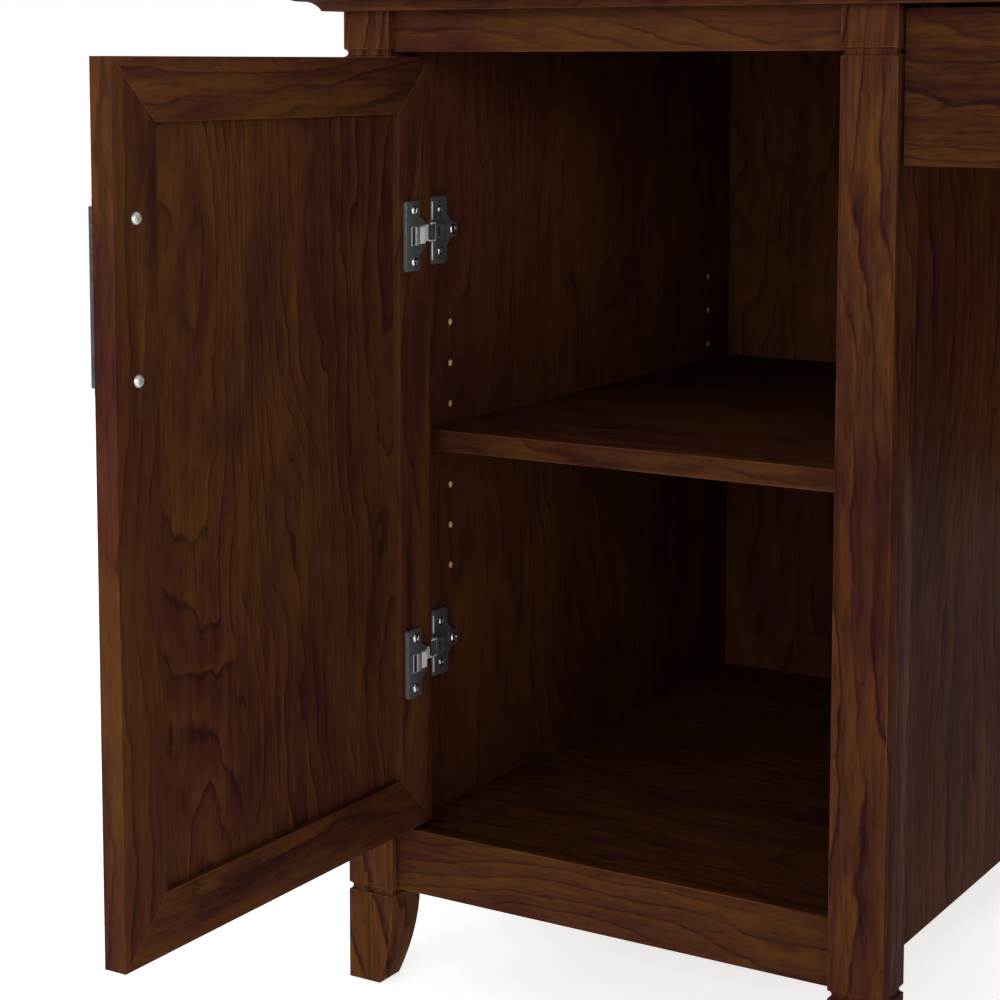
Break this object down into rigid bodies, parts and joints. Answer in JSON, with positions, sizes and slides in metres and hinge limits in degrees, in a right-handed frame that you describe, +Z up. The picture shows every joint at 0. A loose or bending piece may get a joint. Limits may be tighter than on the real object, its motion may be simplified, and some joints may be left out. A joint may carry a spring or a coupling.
{
  "type": "corner desk",
  "caption": "L-shaped corner desk with moulded top, grooved posts on curved feet, a hinged-door cabinet with adjustable shelf, a kneehole drawer and a drawer pedestal.",
  "frame": {"origin": "on the floor, under the middle of the square that the top covers", "axes": "+Z up; the walls are at +Y and +X, the cabinet with the door is at the -X end and faces -Y, the drawer pedestal is at the -Y end and faces -X"},
  "size_m": [1.51, 1.51, 0.766],
  "materials": {
    "cherry": "satin dark cherry laminate",
    "cherry_top": "satin dark cherry laminate",
    "cherry_inside": "satin dark cherry laminate",
    "back_board": "satin printed hardboard",
    "drawer_board": "satin maple laminate",
    "pewter": "satin dark pewter",
    "hinge_steel": "gunmetal plate with bright arm",
    "bright_steel": "bright zinc plate",
    "zinc_steel": "zinc plate"
  },
  "bodies": {
    "desk_frame": {"main_top": "cherry_top", "return_top": "cherry_top", "edge_left": "cherry_top", "edge_front": "cherry_top", "edge_return_side": "cherry_top", "edge_return_end": "cherry_top", "post_front_left": "cherry", "post_front_right": "cherry", "post_rear_left": "cherry", "post_rear_right": "cherry", "corner_post": "cherry", "return_post_front_outer": "cherry", "return_post_front_inner": "cherry", "return_post_rear_outer": "cherry", "return_post_rear_inner": "cherry", "left_side_panel": "cherry", "right_side_panel": "cherry", "cabinet_back": "back_board", "cabinet_deck": "cherry_inside", "cabinet_top_rail": "cherry", "cabinet_bottom_rail": "cherry", "modesty_panel": "cherry", "return_end_panel": "cherry", "return_inner_panel": "cherry", "return_back": "back_board", "return_deck": "cherry_inside", "return_top_rail": "cherry", "return_bottom_rail": "cherry", "return_modesty_panel": "cherry", "shelf": "cherry", "shelf_pins": "bright_steel", "door_catch": "bright_steel", "hinge_arms": "hinge_steel", "hinge_arm_screws": "bright_steel", "drawer_hangers": "cherry_inside", "slide_channels": "zinc_steel"},
    "door": {"door_hinge_stile": "cherry", "door_pull_stile": "cherry", "door_top_rail": "cherry", "door_bottom_rail": "cherry", "door_panel": "cherry", "door_pull": "pewter", "door_screws": "bright_steel", "hinge_cups": "hinge_steel", "hinge_pins": "bright_steel"},
    "kneehole_drawer": {"kneehole_drawer_front": "cherry", "kneehole_drawer_box": "drawer_board", "kneehole_drawer_pull": "pewter", "kneehole_drawer_members": "zinc_steel"},
    "box_drawer": {"box_drawer_front": "cherry", "box_drawer_box": "drawer_board", "box_drawer_pull": "pewter", "box_drawer_members": "zinc_steel"},
    "file_drawer": {"file_drawer_front": "cherry", "file_drawer_box": "drawer_board", "file_drawer_pull": "pewter", "file_drawer_members": "zinc_steel"},
    "kneehole_slide_members": {"kneehole_slides": "zinc_steel"},
    "box_drawer_slide_members": {"box_drawer_slides": "zinc_steel"},
    "file_drawer_slide_members": {"file_drawer_slides": "zinc_steel"}
  },
  "joints": [
    {"name": "door_hinge", "type": "hinge", "parent": "desk_frame", "child": "door", "pos_m": [-0.6706, 0.1939, 0.4161], "axis": [0, 0, 1], "range_deg": [0, 90]},
    {"name": "kneehole_drawer_slide", "type": "slide", "parent": "desk_frame", "child": "kneehole_drawer", "axis": [0, -1, 0], "range_m": [0, 0.3]},
    {"name": "box_drawer_slide", "type": "slide", "parent": "desk_frame", "child": "box_drawer", "axis": [-1, 0, 0], "range_m": [0, 0.38]},
    {"name": "file_drawer_slide", "type": "slide", "parent": "desk_frame", "child": "file_drawer", "axis": [-1, 0, 0], "range_m": [0, 0.38]},
    {"name": "kneehole_slide_extension", "type": "slide", "parent": "desk_frame", "child": "kneehole_slide_members", "axis": [0, -1, 0], "range_m": [0, 0.15]},
    {"name": "box_slide_extension", "type": "slide", "parent": "desk_frame", "child": "box_drawer_slide_members", "axis": [-1, 0, 0], "range_m": [0, 0.19]},
    {"name": "file_slide_extension", "type": "slide", "parent": "desk_frame", "child": "file_drawer_slide_members", "axis": [-1, 0, 0], "range_m": [0, 0.19]}
  ],
  "couplings": [
    {"joint": "kneehole_slide_extension", "follows": "kneehole_drawer_slide", "ratio": 0.5},
    {"joint": "box_slide_extension", "follows": "box_drawer_slide", "ratio": 0.5},
    {"joint": "file_slide_extension", "follows": "file_drawer_slide", "ratio": 0.5}
  ]
}
